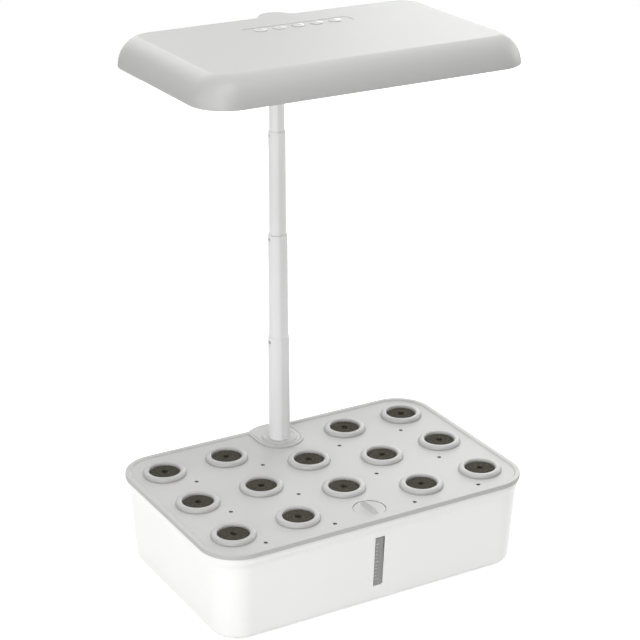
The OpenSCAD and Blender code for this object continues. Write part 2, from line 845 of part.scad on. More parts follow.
tank();
tank_feet();
window_lens();
window_gasket();
mast_socket();
socket_screws();
power_inlet();
pump_body();
pump_filter();
deck();
fill_cap();
cap_seal();
for (n = [1:14]) basket(n);
for (n = [1:14]) sponge(n);
for (n = [1:4]) mast_tube(n);
for (n = [1:3]) snap_pin(n);
lamp_cover();
lamp_base();
lamp_screws();
diffuser();
led_board();
led_chips();
control_board();
mast_collar();
for (n = [1:5]) button(n);
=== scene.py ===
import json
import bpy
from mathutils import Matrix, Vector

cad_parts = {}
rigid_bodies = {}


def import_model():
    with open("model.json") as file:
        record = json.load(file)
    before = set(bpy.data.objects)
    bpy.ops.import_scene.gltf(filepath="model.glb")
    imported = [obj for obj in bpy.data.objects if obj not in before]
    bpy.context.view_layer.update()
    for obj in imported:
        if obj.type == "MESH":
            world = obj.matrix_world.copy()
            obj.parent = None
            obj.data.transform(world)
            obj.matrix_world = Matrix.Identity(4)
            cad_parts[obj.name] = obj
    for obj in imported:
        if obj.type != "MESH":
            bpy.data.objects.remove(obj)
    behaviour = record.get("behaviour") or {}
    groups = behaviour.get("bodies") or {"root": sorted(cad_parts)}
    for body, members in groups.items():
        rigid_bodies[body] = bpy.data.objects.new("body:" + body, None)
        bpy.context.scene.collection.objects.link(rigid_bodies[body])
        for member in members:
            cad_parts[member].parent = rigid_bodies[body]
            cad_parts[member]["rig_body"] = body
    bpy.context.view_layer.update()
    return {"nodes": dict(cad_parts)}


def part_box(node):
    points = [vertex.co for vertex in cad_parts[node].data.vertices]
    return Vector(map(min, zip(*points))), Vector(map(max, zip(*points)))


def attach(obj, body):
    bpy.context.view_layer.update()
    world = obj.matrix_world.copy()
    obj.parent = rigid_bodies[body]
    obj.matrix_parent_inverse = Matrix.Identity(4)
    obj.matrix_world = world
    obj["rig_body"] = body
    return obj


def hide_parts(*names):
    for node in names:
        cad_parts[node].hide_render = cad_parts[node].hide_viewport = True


bl_info = {
    "name": "Countertop hydroponic garden",
    "version": (1, 0, 0),
    "blender": (4, 5, 0),
    "location": "3D View > Sidebar > Garden",
    "description": "Models and finishes the garden's shells, pods, mast and lamp, and lights them",
    "category": "Object",
}

from math import asin, atan2, cos, hypot, pi, radians, sin, sqrt, tan

import bmesh
import bpy
from bpy.props import FloatProperty, FloatVectorProperty, IntProperty, PointerProperty
from mathutils import Matrix, Vector, noise

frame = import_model()
MM = 0.001
# Keeps two faces that would lie in one plane apart, in millimetres
CLEAR = 0.03


def box_mm(node):
    """Lowest and highest corner of a CAD node, in millimetres."""
    low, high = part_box(node)
    return low / MM, high / MM


def middle(node):
    """Middle of a CAD node's box, in millimetres."""
    low, high = box_mm(node)
    return (low + high) / 2


def linear(hex_colour):
    """Linear colour of an sRGB hex value such as #D9D9D8."""
    parts = [int(hex_colour[n : n + 2], 16) / 255 for n in (1, 3, 5)]
    return [p / 12.92 if p <= 0.04045 else ((p + 0.055) / 1.055) ** 2.4 for p in parts]


# Sizes that the frame gives, in millimetres
DECK_LOW, DECK_HIGH = box_mm("deck")
DECK_Y = (DECK_LOW.y + DECK_HIGH.y) / 2
TANK_LOW, TANK_HIGH = box_mm("tank")
LAMP_LOW, LAMP_HIGH = box_mm("lamp_cover")
LAMP_MIDDLE = (LAMP_LOW + LAMP_HIGH) / 2
MAST = middle("mast_collar")
WINDOW = middle("window_lens")
PODS = range(1, 15)
TUBES = range(1, 5)
PINS = range(1, 4)
BUTTONS = range(1, 6)

# Details that the frame's boxes don't give, in millimetres
LIP_EDGE = 0.6  # rounding of the tank's upper edge
LIP_CURVE = 12  # from the tank's top down to the foot of the curve under its lip
TANK_FLOOR = 2.6  # thickness of the tank's floor
WINDOW_FLANGE = 3.3  # how far the lens's flange reaches past its plug
WINDOW_GAP = 0.4  # round the plug in its opening
WINDOW_CORNER = 2.2
WINDOW_CHAMFER = 0.8
MARK_WIDTHS = (3.6, 2.0)  # of every fifth mark, and of the others
MARK_LEFT = 4  # from the window's middle to the marks' left ends
MARK_HEIGHT = 0.5
MARK_DEPTH = 0.2  # half of it stands out of the lens
WELL_INSET = 3.7  # how far the mast's dry well stands in from the socket's plan
WELL_WALL = 2.4
WELL_LIP_INSET = 1.5  # how far the tank's lip round that well stands in from the socket's plan
SCREW_PLACES = (-8, 8)
SCREW_SINK = 3.4  # radius round a screw's head
SOCKET_BULGE = 38  # radius of the socket's back
SOCKET_LENGTH = 90  # long enough to pass that back
VENTS = [(x, DECK_Y + y) for x in (-120, -45, 45, 120) for y in (43, -31, -102)]
VENT_BORE = 2.1  # radius through the deck's upper skin
VENT_RELIEF = 3.4  # radius below that skin
SPONGE_TAPER = 2.2  # how much smaller the sponge's radius is at its foot
SPONGE_RING = 1.3  # width of each ring of faces on its top
SPONGE_RINGS = 9
SPONGE_SPREAD = 7.3  # keeps two sponges from being torn alike
SEED_HOLE = 6  # depth of the hole for the seed
LAMP_CREASE = 0.9  # rounding where the lamp's side meets its flat top
PANEL_MARGIN = 5  # how far the sunk button panel reaches past the button board
PANEL_DEPTH = 19
PANEL_CORNER = 6
PANEL_SINK = 0.3
BUTTON_HOLE = 6.3  # radius
HOUSING_FOOT = 11  # from the lamp's lower edge up to the foot of the mast's housing
HOUSING_FILLET = 12
HOUSING_RIM = 1.4
HOUSING_OVERLAP = 6  # how far the housing reaches into the cover

# ---- settings ----


def length(name, description, millimetres):
    """A length's setting, with its default in millimetres."""
    return FloatProperty(
        name=name, description=description, default=millimetres * MM, unit="LENGTH", precision=5
    )


def colour(name, description, hex_colour):
    """A colour's setting, with its default as an sRGB hex value."""
    return FloatVectorProperty(
        name=name, description=description, default=linear(hex_colour), subtype="COLOR", min=0, max=1
    )


class GardenSizes(bpy.types.PropertyGroup):
    """Sizes that the frame's boxes don't give."""

    edge: length("Moulded edge", "Rounding of the moulded parts' edges", 0.4)
    tank_corner: length("Tank corner", "Corner radius of the tank's lip", 36.8)
    tank_wall: length("Tank wall", "Wall thickness of the tank", 2.6)
    lip_drop: length("Lip", "Height of the tank's upright lip", 4.0)
    lip_swell: length("Swell", "How far the lip stands out over the wall", 2.2)
    wall_lean: length("Lean", "How far the tank's wall leans in down to the floor", 4.9)
    floor_round: length("Floor round", "Radius where the tank's walls meet its floor", 8.0)
    lamp_corner: length("Lamp corner", "Corner radius of the lamp's lower edge", 34.9)
    lamp_inset: length("Lamp shoulder", "How far the lamp's flat top is set in from its lower edge", 19.85)
    lamp_wall: length("Lamp wall", "Wall thickness of the lamp's cover", 2.2)
    housing: length("Mast housing", "Radius of the housing over the mast in the lamp", 17.4)
    mark_pitch: length("Scale", "Distance between the marks on the water window", 4.0)
    sponge_rough: length("Sponge", "Height of the sponge's rough surface", 0.45)
    corner_steps: IntProperty(
        name="Corner steps", description="Faces round a rounded corner", default=20, min=8
    )


class GardenColours(bpy.types.PropertyGroup):
    """Colours of the garden's finishes."""

    tank: colour("Tank", "White ABS of the tank", "#F3F3F2")
    deck: colour("Deck", "Light grey ABS of the deck", "#B2B2B1")
    lamp: colour("Lamp", "Light grey ABS of the lamp", "#A9A9A8")
    basket: colour("Baskets", "Pale polypropylene of the baskets", "#A9A9A8")
    mast: colour("Mast", "Powder coat of the mast", "#E5E5E5")
    sponge: colour("Sponge", "Open-cell sponge", "#3F3C34")
    window: colour("Window", "Smoke-grey polycarbonate", "#8B8B89")


# ---- bmesh tools, in millimetres ----


def slab(width, depth, radius, place, steps):
    """A flat rounded rectangle with a face on each side. Returns it with its lower and upper face."""
    bm = bmesh.new()
    bmesh.ops.create_grid(bm, x_segments=1, y_segments=1, size=0.5)
    bmesh.ops.scale(bm, verts=bm.verts, vec=(width, depth, 1))
    bmesh.ops.bevel(
        bm, geom=bm.verts[:], offset=radius, segments=steps, profile=0.5, affect="VERTICES", material=-1
    )
    bmesh.ops.translate(bm, verts=bm.verts, vec=place)
    bm.faces.ensure_lookup_table()
    lower = bm.faces[0]
    made = bmesh.ops.extrude_face_region(bm, geom=[lower], use_keep_orig=True)["geom"]
    upper = next(g for g in made if isinstance(g, bmesh.types.BMFace) and len(g.verts) > 4)
    return bm, lower, upper


def run(bm, face, path):
    """Carries a face along steps of (inwards, up), so that a wall follows it."""
    for inwards, up in path:
        bmesh.ops.inset_region(bm, faces=[face], thickness=inwards, use_even_offset=True, use_boundary=True)
        bmesh.ops.translate(bm, verts=face.verts, vec=(0, 0, up))


def steps_of(points):
    """The steps between the points of a section."""
    return [(b[0] - a[0], b[1] - a[1]) for a, b in zip(points, points[1:])]


def arc(x, y, radius, start, end, steps):
    """Points along an arc in plan, its angles in radians."""
    angles = [start + (end - start) * n / steps for n in range(steps + 1)]
    return [(x + radius * cos(a), y + radius * sin(a)) for a in angles]


def prism(width, depth, radius, place, height, steps):
    """A solid rounded rectangle that stands on a place."""
    bm, _, upper = slab(width, depth, radius, place, steps)
    bmesh.ops.translate(bm, verts=upper.verts, vec=(0, 0, height))
    bmesh.ops.recalc_face_normals(bm, faces=bm.faces)
    return bm


def rod(radius, place, height, segments):
    """A closed cylinder that stands on a place."""
    bm = bmesh.new()
    bmesh.ops.create_cone(
        bm, cap_ends=True, segments=segments, radius1=radius, radius2=radius, depth=height
    )
    bmesh.ops.translate(bm, verts=bm.verts, vec=Vector(place) + Vector((0, 0, height / 2)))
    return bm


def merged(*parts):
    """One bmesh that holds several."""
    whole = parts[0]
    for part in parts[1:]:
        mesh = bpy.data.meshes.new("work")
        part.to_mesh(mesh)
        part.free()
        whole.from_mesh(mesh)
        bpy.data.meshes.remove(mesh)
    return whole


def boolean(first, second, operation):
    """The union, difference or intersection of two closed bmeshes, which are used up."""
    works = []
    for bm in (first, second):
        mesh = bpy.data.meshes.new("work")
        bm.to_mesh(mesh)
        bm.free()
        works.append(bpy.data.objects.new("work", mesh))
        bpy.context.scene.collection.objects.link(works[-1])
    modifier = works[0].modifiers.new("work", "BOOLEAN")
    modifier.object = works[1]
    modifier.operation = operation
    modifier.solver = "EXACT"
    result = bmesh.new()
    result.from_object(works[0], bpy.context.evaluated_depsgraph_get())
    for work in works:
        mesh = work.data
        bpy.data.objects.remove(work)
        bpy.data.meshes.remove(mesh)
    return result


def cad_copy(node):
    """A merged copy of a CAD node, without the seams between its triangles."""
    bm = bmesh.new()
    bm.from_mesh(frame["nodes"][node].data)
    bmesh.ops.scale(bm, verts=bm.verts, vec=(1 / MM,) * 3)
    bmesh.ops.remove_doubles(bm, verts=bm.verts, dist=0.004)
    bmesh.ops.dissolve_limit(bm, angle_limit=radians(0.5), verts=bm.verts, edges=bm.edges)
    return bm


def piece(name, bm, body, material, nodes=(), round_mm=None, sharp=38):
    """Makes a bmesh a piece that rides on a body and stands for CAD nodes."""
    bmesh.ops.scale(bm, verts=bm.verts, vec=(MM,) * 3)
    for face in bm.faces:
        face.smooth = True
    mesh = bpy.data.meshes.new(name)
    bm.to_mesh(mesh)
    bm.free()
    mesh.materials.append(material)
    mesh.set_sharp_from_angle(angle=radians(sharp))
    made = bpy.data.objects.new(name, mesh)
    bpy.context.scene.collection.objects.link(made)
    if round_mm:
        edge = made.modifiers.new("edge_round", "BEVEL")
        edge.width = round_mm * MM
        edge.segments = 3
        edge.limit_method = "ANGLE"
        edge.angle_limit = radians(sharp)
        edge.harden_normals = True
    flat = made.modifiers.new("flat_faces", "WEIGHTED_NORMAL")
    flat.keep_sharp = True
    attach(made, body)
    if nodes:
        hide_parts(*nodes)
    return made


def redress(node, material, round_mm=None):
    """Stands a rounded copy in for a CAD node whose shape is right."""
    body = frame["nodes"][node]["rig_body"]
    return piece(f"{node}_finished", cad_copy(node), body, material, [node], round_mm)


# ---- materials ----


def add(tree, kind, inputs=None, **settings):
    """Adds a node with its settings, and fills its inputs with values or other nodes' outputs."""
    made = tree.nodes.new(kind)
    for name, value in settings.items():
        setattr(made, name, value)
    for name, value in (inputs or {}).items():
        if isinstance(value, bpy.types.NodeSocket):
            tree.links.new(value, made.inputs[name])
        else:
            made.inputs[name].default_value = value
    return made


def blank(name):
    """A material with only its output, its tree and the object's own coordinates."""
    material = bpy.data.materials.new(name)
    material.use_nodes = True
    tree = material.node_tree
    tree.nodes.clear()
    where = add(tree, "ShaderNodeTexCoord").outputs["Object"]
    return material, tree, where, add(tree, "ShaderNodeOutputMaterial")


def per_metre(millimetres):
    """Noise scale at which a grain measures so many millimetres."""
    return 1 / (millimetres * MM)


def shade(rgb, share):
    """A colour made darker or lighter by a share, with its alpha."""
    return [min(1, c * share) for c in rgb] + [1]


def seen_directly(tree):
    """A value of 1 where the camera, a reflection or a clear material shows the surroundings."""
    path = add(tree, "ShaderNodeLightPath")
    seen = path.outputs["Is Camera Ray"]
    for ray in ("Is Glossy Ray", "Is Transmission Ray"):
        either = add(tree, "ShaderNodeMath", {0: seen, 1: path.outputs[ray]}, operation="MAXIMUM")
        seen = either.outputs["Value"]
    return seen


def moulded(name, rgb, roughness, grain, depth, drift, metallic=0.0):
    """A pressed, moulded or coated surface: its grain breaks the gloss, and its colour drifts a little.

    Grain and depth are in millimetres. A mould's grain is nearer 0.1 mm, and is drawn coarser, so that it
    shows.
    """
    material, tree, where, out = blank(name)
    patches = add(tree, "ShaderNodeTexNoise", {"Vector": where, "Scale": per_metre(60), "Detail": 3})
    tint = add(
        tree,
        "ShaderNodeMix",
        {"Factor": patches.outputs["Fac"], "A": shade(rgb, 1 - drift), "B": shade(rgb, 1 + drift)},
        data_type="RGBA",
    )
    fine = add(tree, "ShaderNodeTexNoise", {"Vector": where, "Scale": per_metre(grain), "Detail": 4})
    gloss = add(
        tree,
        "ShaderNodeMapRange",
        {"Value": fine.outputs["Fac"], "To Min": roughness - 0.05, "To Max": roughness + 0.05},
    )
    bump = add(
        tree, "ShaderNodeBump", {"Height": fine.outputs["Fac"], "Strength": 0.6, "Distance": depth * MM}
    )
    shader = add(
        tree,
        "ShaderNodeBsdfPrincipled",
        {
            "Base Color": tint.outputs["Result"],
            "Roughness": gloss.outputs["Result"],
            "Normal": bump.outputs["Normal"],
            "Metallic": metallic,
        },
    )
    tree.links.new(shader.outputs["BSDF"], out.inputs["Surface"])
    return material


def open_cell_sponge(name, rgb):
    """Pressed peat sponge: brown and matt, with pores about a millimetre across, painted in as shade, and
    pale fibres.
    """
    material, tree, where, out = blank(name)
    pores = add(
        tree, "ShaderNodeTexVoronoi", {"Vector": where, "Scale": per_metre(1.3), "Randomness": 1.0}
    )
    clumps = add(
        tree, "ShaderNodeTexNoise", {"Vector": where, "Scale": per_metre(3.5), "Detail": 6, "Roughness": 0.7}
    )
    ramp = add(tree, "ShaderNodeValToRGB", {"Fac": clumps.outputs["Fac"]})
    ramp.color_ramp.elements[0].position = 0.36
    ramp.color_ramp.elements[0].color = shade(rgb, 0.8)
    ramp.color_ramp.elements[1].position = 0.62
    ramp.color_ramp.elements[1].color = shade(rgb, 1.08)
    flecks = add(tree, "ShaderNodeTexNoise", {"Vector": where, "Scale": per_metre(1.1), "Detail": 2})
    pale = add(
        tree, "ShaderNodeMapRange", {"Value": flecks.outputs["Fac"], "From Min": 0.66, "From Max": 0.72}
    )
    flecked = add(
        tree,
        "ShaderNodeMix",
        {"Factor": pale.outputs["Result"], "A": ramp.outputs["Color"], "B": linear("#8C8778") + [1]},
        data_type="RGBA",
    )
    # Painted shade: each pore is shaded towards its middle, where the bump sinks it, in place of the shade
    # inside the pit
    hollow = add(
        tree, "ShaderNodeMapRange", {"Value": pores.outputs["Distance"], "From Max": 0.34, "To Min": 0.2}
    )
    pore_shade = add(
        tree,
        "ShaderNodeMix",
        {"Factor": hollow.outputs["Result"], "A": shade(rgb, 0.3), "B": flecked.outputs["Result"]},
        data_type="RGBA",
    )
    height = add(
        tree, "ShaderNodeMath", {0: clumps.outputs["Fac"], 1: pores.outputs["Distance"]}, operation="ADD"
    )
    bump = add(
        tree, "ShaderNodeBump", {"Height": height.outputs["Value"], "Strength": 1.0, "Distance": 0.7 * MM}
    )
    shader = add(
        tree,
        "ShaderNodeBsdfPrincipled",
        {
            "Base Color": pore_shade.outputs["Result"],
            "Roughness": 0.95,
            "Specular IOR Level": 0.2,
            "Normal": bump.outputs["Normal"],
        },
    )
    tree.links.new(shader.outputs["BSDF"], out.inputs["Surface"])
    return material


def circuit_board(name, rgb, copper):
    """Solder mask over copper: the tracks show through as raised lines 2 to 4 mm apart."""
    material, tree, where, out = blank(name)
    tracks = add(
        tree,
        "ShaderNodeTexBrick",
        {
            "Vector": where,
            "Scale": per_metre(8),
            "Color1": shade(rgb, 1),
            "Color2": shade(rgb, 0.93),
            "Mortar": shade(rgb, copper),
            "Mortar Size": 0.03,
        },
    )
    bump = add(
        tree, "ShaderNodeBump", {"Height": tracks.outputs["Fac"], "Strength": 0.5, "Distance": 0.1 * MM}
    )
    shader = add(
        tree,
        "ShaderNodeBsdfPrincipled",
        {"Base Color": tracks.outputs["Color"], "Roughness": 0.35, "Normal": bump.outputs["Normal"]},
    )
    tree.links.new(shader.outputs["BSDF"], out.inputs["Surface"])
    return material


def make_materials(colours):
    """Every finish of the garden, by its slot in the record."""
    names = ("tank", "deck", "lamp", "basket", "mast", "sponge", "window")
    rgb = {key: list(getattr(colours, key)) for key in names}
    # A moulded finish has its name, colour, roughness, grain, the grain's depth and the colour's drift
    return {
        # Injection-moulded gloss ABS: a polished mould leaves only a faint ripple
        "tank_shell": moulded("white_abs_gloss", rgb["tank"], 0.3, 4, 0.02, 0.012),
        # Injection-moulded ABS from a spark-eroded mould: a matt, even grain
        "deck_shell": moulded("grey_abs_matt", rgb["deck"], 0.5, 0.7, 0.05, 0.015),
        "lamp_shell": moulded("lamp_abs_satin", rgb["lamp"], 0.46, 0.8, 0.04, 0.015),
        "button_cap": moulded("button_abs_gloss", linear("#B4B4B3"), 0.28, 3, 0.02, 0.01),
        # Moulded polypropylene: waxy, so softer in its gloss than ABS
        "basket_ring": moulded("polypropylene_satin", rgb["basket"], 0.4, 1.2, 0.03, 0.015),
        # Powder coat over extruded aluminium: fine orange peel
        "mast_tube": moulded("powder_coated_aluminium", rgb["mast"], 0.36, 1.0, 0.03, 0.01),
        "sponge": open_cell_sponge("peat_sponge", rgb["sponge"]),
        # Moulded polycarbonate with a smoke tint
        "window": moulded("smoke_polycarbonate", rgb["window"], 0.22, 6, 0.02, 0.03),
        # Screen-printed ink: thin, matt and a little uneven
        "print": moulded("screen_printed_ink", linear("#C9C9C7"), 0.6, 0.6, 0.02, 0.08),
        # Moulded silicone and rubber: dark, matt and slightly dusty
        "seal_rubber": moulded("silicone_rubber", linear("#4A4A4A"), 0.7, 0.8, 0.04, 0.06),
        "foot_rubber": moulded("moulded_rubber", linear("#383838"), 0.75, 0.8, 0.05, 0.08),
        # Zinc-plated steel: a soft metal sheen with fine plating grain
        "screw_steel": moulded("zinc_plated_steel", linear("#B9B9B5"), 0.32, 0.5, 0.02, 0.05, metallic=1.0),
        "locking_pin": moulded("blackened_steel", linear("#3A3A3A"), 0.4, 0.5, 0.02, 0.06, metallic=0.8),
        "inlet_plastic": moulded("black_nylon", linear("#1E1E1E"), 0.5, 0.6, 0.03, 0.05),
        "pump_plastic": moulded("black_abs", linear("#2B2B2D"), 0.42, 0.9, 0.05, 0.05),
        "collar_plastic": moulded("acetal", linear("#CBCBCB"), 0.35, 1.5, 0.02, 0.02),
        # Opal acrylic sheet with a frosted face
        "diffuser_sheet": moulded("frosted_acrylic", linear("#EFEDE6"), 0.6, 0.5, 0.02, 0.01),
        "circuit_board": circuit_board("white_metal_core_board", linear("#EDEDED"), 0.8),
        "control_circuit": circuit_board("green_epoxy_board", linear("#1F6B3F"), 1.6),
        # Phosphor under clear resin
        "led": moulded("led_phosphor", linear("#E6D79C"), 0.25, 1.0, 0.02, 0.05),
    }


MATERIALS = {}


def finish_of(slot):
    """The material of a slot, made on first use from the scene's colours."""
    if not MATERIALS:
        MATERIALS.update(make_materials(bpy.context.scene.garden_colours))
    return MATERIALS[slot]


# ---- shapes ----


def socket_prism(grow, low, high, steps):
    """The mast socket's plan as a solid: round in front, straight at its sides and bulging at the back."""
    half = (box_mm("mast_socket")[1].x - box_mm("mast_socket")[0].x) / 2 + grow
    bulge = SOCKET_BULGE + grow
    back = box_mm("mast_socket")[1].y + grow
    bm = bmesh.new()
    bmesh.ops.create_grid(bm, x_segments=1, y_segments=1, size=0.5)
    bmesh.ops.scale(bm, verts=bm.verts, vec=(2 * half, SOCKET_LENGTH, 1))
    bmesh.ops.translate(bm, verts=bm.verts, vec=(0, MAST.y - half + SOCKET_LENGTH / 2, low))
    front = [v for v in bm.verts if v.co.y < MAST.y]
    bmesh.ops.bevel(
        bm, geom=front, offset=half - 0.01, segments=steps, profile=0.5, affect="VERTICES", material=-1
    )
    bmesh.ops.remove_doubles(bm, verts=bm.verts, dist=0.05)
    made = bmesh.ops.extrude_face_region(bm, geom=bm.faces[:], use_keep_orig=True)["geom"]
    top = [g for g in made if isinstance(g, bmesh.types.BMVert)]
    bmesh.ops.translate(bm, verts=top, vec=(0, 0, high - low))
    bmesh.ops.recalc_face_normals(bm, faces=bm.faces)
    round_back = rod(bulge, (0, back - bulge, low - 1), high - low + 2, 160)
    return boolean(bm, round_back, "INTERSECT")


def lip_points(size):
    """Section of the tank's outside as (inwards, height): an upright lip over a leaning wall."""
    top = TANK_HIGH.z
    lip_foot = top - size["lip_drop"]
    wall_top = top - LIP_CURVE
    fillet = size["floor_round"]
    points = [(0, top - LIP_EDGE), (0, lip_foot)]
    for n in range(1, 13):
        t = n / 12
        points.append((size["lip_swell"] * (1 - cos(pi * t)) / 2, lip_foot - t * (lip_foot - wall_top)))
    wall_foot = size["lip_swell"] + size["wall_lean"]
    for n in range(9):
        a = radians(90 * n / 8)
        points.append((wall_foot + fillet * (1 - cos(a)), TANK_LOW.z + fillet * (1 - sin(a))))
    return points


def inside_points(size):
    """Section of the tank's inside, from the lip's rounded edge down to the floor."""
    top = TANK_HIGH.z
    wall = size["tank_wall"]
    fillet = size["floor_round"]
    inner = fillet - wall
    wall_foot = size["lip_swell"] + size["wall_lean"]
    points = [(0, top - LIP_EDGE), (0.3 * LIP_EDGE, top - 0.3 * LIP_EDGE), (LIP_EDGE, top)]
    points += [(size["lip_swell"] + wall, top), (size["lip_swell"] + wall, top - LIP_CURVE)]
    for n in range(7):
        a = radians(90 * n / 6)
        points.append((wall_foot + fillet - inner * cos(a), TANK_LOW.z + fillet - inner * sin(a)))
    return points


def cut_window(bm, low, high, radius, chamfer):
    """Opens both faces of the front wall between two corners, walls the opening and breaks its outer edge."""
    front = [
        f
        for f in bm.faces
        if abs(f.normal.y) > 0.9
        and f.calc_center_median().y < DECK_Y
        and min(v.co.z for v in f.verts) < low.z
        and max(v.co.z for v in f.verts) > high.z
    ]
    for axis, value in ((0, low.x), (0, high.x), (2, low.z), (2, high.z)):
        normal = Vector((0, 0, 0))
        normal[axis] = 1
        geom = set(front)
        for face in front:
            geom.update(face.edges)
            geom.update(face.verts)
        cut = bmesh.ops.bisect_plane(bm, geom=list(geom), dist=1e-5, plane_co=normal * value, plane_no=normal)
        front = [g for g in cut["geom"] if isinstance(g, bmesh.types.BMFace)]
    inside = [
        f
        for f in front
        if low.x < f.calc_center_median().x < high.x and low.z < f.calc_center_median().z < high.z
    ]
    rims = {e for f in inside for e in f.edges}
    bmesh.ops.delete(bm, geom=inside, context="FACES_ONLY")
    walls = bmesh.ops.bridge_loops(bm, edges=list(rims))["faces"]
    corners = [
        e
        for e in {e for f in walls for e in f.edges}
        if abs(e.verts[0].co.y - e.verts[1].co.y) > 1 and abs(e.verts[0].co.x - e.verts[1].co.x) < 0.1
    ]
    bmesh.ops.bevel(bm, geom=corners, offset=radius, segments=6, profile=0.5, affect="EDGES", material=-1)
    bm.normal_update()
    rim = [
        e
        for e in bm.edges
        if len(e.link_faces) == 2
        and all(low.x - 1 < v.co.x < high.x + 1 and low.z - 1 < v.co.z < high.z + 1 for v in e.verts)
        and min(f.normal.y for f in e.link_faces) < -0.9
        and max(f.normal.y for f in e.link_faces) > -0.3
    ]
    if not rim:
        raise RuntimeError("the tank's window has no rim")
    bmesh.ops.bevel(bm, geom=rim, offset=chamfer, segments=2, profile=0.5, affect="EDGES", material=-1)


# ---- operators ----


class GARDEN_OT_tank(bpy.types.Operator):
    """Model the tank with its lip, its window opening and the housing of the mast's well"""

    bl_idname = "garden.tank"
    bl_label = "Tank"

    def execute(self, context):
        sizes = context.scene.garden_sizes
        size = {
            key: getattr(sizes, key) / MM
            for key in ("tank_wall", "lip_drop", "lip_swell", "wall_lean", "floor_round")
        }
        steps = sizes.corner_steps
        width = TANK_HIGH.x - TANK_LOW.x
        depth = 2 * (DECK_Y - TANK_LOW.y)
        place = (0, DECK_Y, TANK_HIGH.z - LIP_EDGE)
        bm, lower, upper = slab(width, depth, sizes.tank_corner / MM, place, steps)
        run(bm, lower, steps_of(lip_points(size)))
        run(bm, upper, steps_of(inside_points(size)))
        bmesh.ops.remove_doubles(bm, verts=bm.verts, dist=0.001)
        bmesh.ops.recalc_face_normals(bm, faces=bm.faces)
        lens_low, lens_high = box_mm("window_lens")
        margin = WINDOW_FLANGE - WINDOW_GAP
        low = Vector((lens_low.x + margin, 0, lens_low.z + margin))
        high = Vector((lens_high.x - margin, 0, lens_high.z - margin))
        cut_window(bm, low, high, WINDOW_CORNER, WINDOW_CHAMFER)
        well = socket_prism(-WELL_INSET, TANK_LOW.z + CLEAR, TANK_HIGH.z - 1, steps)
        bm = boolean(bm, well, "UNION")
        lip = socket_prism(-WELL_LIP_INSET, TANK_HIGH.z - size["lip_drop"], TANK_HIGH.z - CLEAR, steps)
        bm = boolean(bm, lip, "UNION")
        hollow = socket_prism(-WELL_INSET - WELL_WALL, TANK_LOW.z + TANK_FLOOR, TANK_HIGH.z + 2, steps)
        bm = boolean(bm, hollow, "DIFFERENCE")
        sinks = [rod(SCREW_SINK, (x, MAST.y, TANK_LOW.z - 1), 2.2, 32) for x in SCREW_PLACES]
        bm = boolean(bm, merged(*sinks), "DIFFERENCE")
        piece("tank_shell", bm, "base", finish_of("tank_shell"), ["tank"], sizes.edge / MM)
        return {"FINISHED"}


class GARDEN_OT_window(bpy.types.Operator):
    """Finish the water window and give it its scale of raised marks"""

    bl_idname = "garden.window"
    bl_label = "Water window"

    def execute(self, context):
        sizes = context.scene.garden_sizes
        redress("window_lens", finish_of("window"), 0.3)
        redress("window_gasket", finish_of("seal_rubber"), 0.15)
        self.scale(sizes)
        return {"FINISHED"}

    def scale(self, sizes):
        """Raised white marks for the water's level, each fifth one longer, on the lens's leaning face."""
        pitch = sizes.mark_pitch / MM
        wall_height = TANK_HIGH.z - LIP_CURVE - TANK_LOW.z - sizes.floor_round / MM
        lean = atan2(sizes.wall_lean / MM, wall_height)
        bm = bmesh.new()
        for n in range(-5, 6):
            wide = MARK_WIDTHS[0] if n % 5 == 0 else MARK_WIDTHS[1]
            place = Matrix.Translation((wide / 2 - MARK_LEFT, 0, n * pitch))
            shape = Matrix.Diagonal((wide, MARK_DEPTH, MARK_HEIGHT, 1))
            bmesh.ops.create_cube(bm, size=1, matrix=place @ shape)
        bmesh.ops.rotate(bm, verts=bm.verts, matrix=Matrix.Rotation(lean, 3, "X"))
        low, high = box_mm("window_lens")
        face_y = low.y + (high.z - WINDOW.z - WINDOW_FLANGE) * tan(lean)
        bmesh.ops.translate(bm, verts=bm.verts, vec=(WINDOW.x, face_y, WINDOW.z))
        piece("window_scale", bm, "base", finish_of("print"))


class GARDEN_OT_deck(bpy.types.Operator):
    """Finish the deck, the mast's socket and the fill cap"""

    bl_idname = "garden.deck"
    bl_label = "Deck, socket and cap"

    def execute(self, context):
        edge = context.scene.garden_sizes.edge / MM
        self.deck(finish_of("deck_shell"), edge)
        for node in ("mast_socket", "fill_cap"):
            redress(node, finish_of("deck_shell"), edge)
        redress("cap_seal", finish_of("seal_rubber"))
        return {"FINISHED"}

    def deck(self, material, edge):
        """A copy of the deck with its vents at their full width, relieved below the thin upper skin."""
        bm = cad_copy("deck")
        for radius, foot, height in ((VENT_RELIEF, -8, 6), (VENT_BORE, -4, 8)):
            rods = [rod(radius, (x, y, DECK_HIGH.z + foot), height, 24) for x, y in VENTS]
            bm = boolean(bm, merged(*rods), "DIFFERENCE")
        piece("deck_finished", bm, "deck", material, ["deck"], edge)


